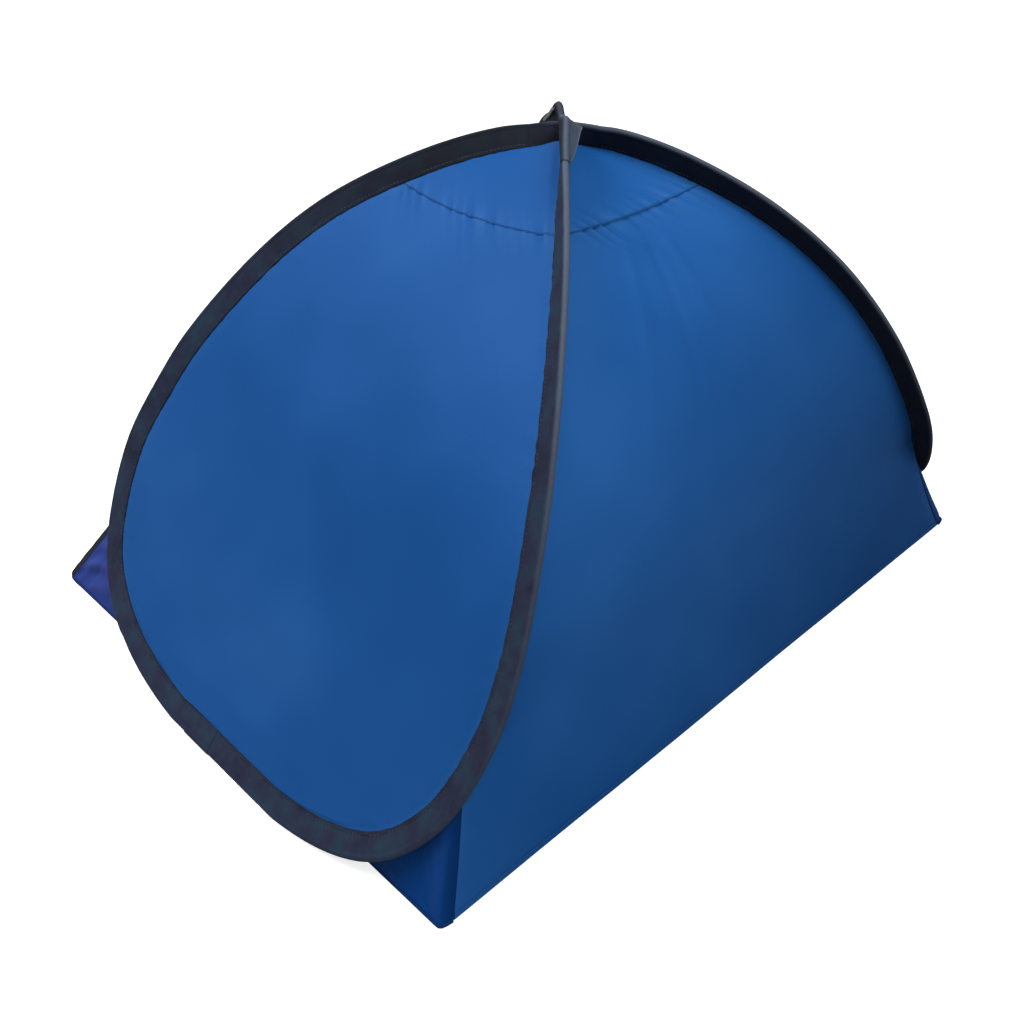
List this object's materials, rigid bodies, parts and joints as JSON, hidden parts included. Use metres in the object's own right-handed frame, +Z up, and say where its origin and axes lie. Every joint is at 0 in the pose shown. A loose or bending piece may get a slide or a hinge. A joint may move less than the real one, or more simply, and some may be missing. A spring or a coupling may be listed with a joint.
{
  "type": "pop-up head shade tent",
  "caption": "Low pop-up personal shade tent: two egg-shaped fabric lobes in sprung edge hoops crossed at the top, a rear panel, ground skirts and an open front.",
  "frame": {"origin": "on the ground, in the middle of the footprint", "axes": "+Z up, the open front faces -Y, the longest side of the footprint runs along X"},
  "size_m": [0.8195, 0.5935, 0.4773],
  "materials": {
    "side_fabric": "coated polyester, satin",
    "rear_fabric": "coated polyester, satin",
    "skirt_fabric": "coated polyester, satin",
    "edge_tape": "woven polyester tape",
    "flap_binding": "woven polyester binding",
    "spring_steel": "drawn spring steel wire"
  },
  "bodies": {
    "left_lobe": {"left_edge_tape": "edge_tape", "left_hoop_wire": "spring_steel", "left_side_panel": "side_fabric", "left_top_corner": "side_fabric", "left_skirt": "skirt_fabric", "left_flap_binding": "flap_binding", "rear_panel": "rear_fabric", "rear_top_corner": "rear_fabric", "crossing_tape_lower": "edge_tape", "crossing_tape_upper": "edge_tape", "crossing_wire_lower": "spring_steel", "crossing_wire_upper": "spring_steel", "tie_patch": "edge_tape"},
    "right_lobe": {"right_edge_tape": "edge_tape", "right_hoop_wire": "spring_steel", "wire_ferrule": "spring_steel", "tape_overlap": "edge_tape", "right_side_panel": "side_fabric", "right_top_corner": "side_fabric", "right_skirt": "skirt_fabric", "right_flap_binding": "flap_binding"}
  },
  "joints": [
    {"name": "fold", "type": "hinge", "parent": "left_lobe", "child": "right_lobe", "pos_m": [0, 0.047, 0.4525], "axis": [0, 1, 0], "range_deg": [0, 76], "stiffness_Nm_per_rad": 0.3, "springref_deg": -20.05, "deforming": ["rear_panel", "rear_top_corner", "crossing_tape_lower", "crossing_tape_upper", "crossing_wire_lower", "crossing_wire_upper", "tie_patch"]}
  ]
}
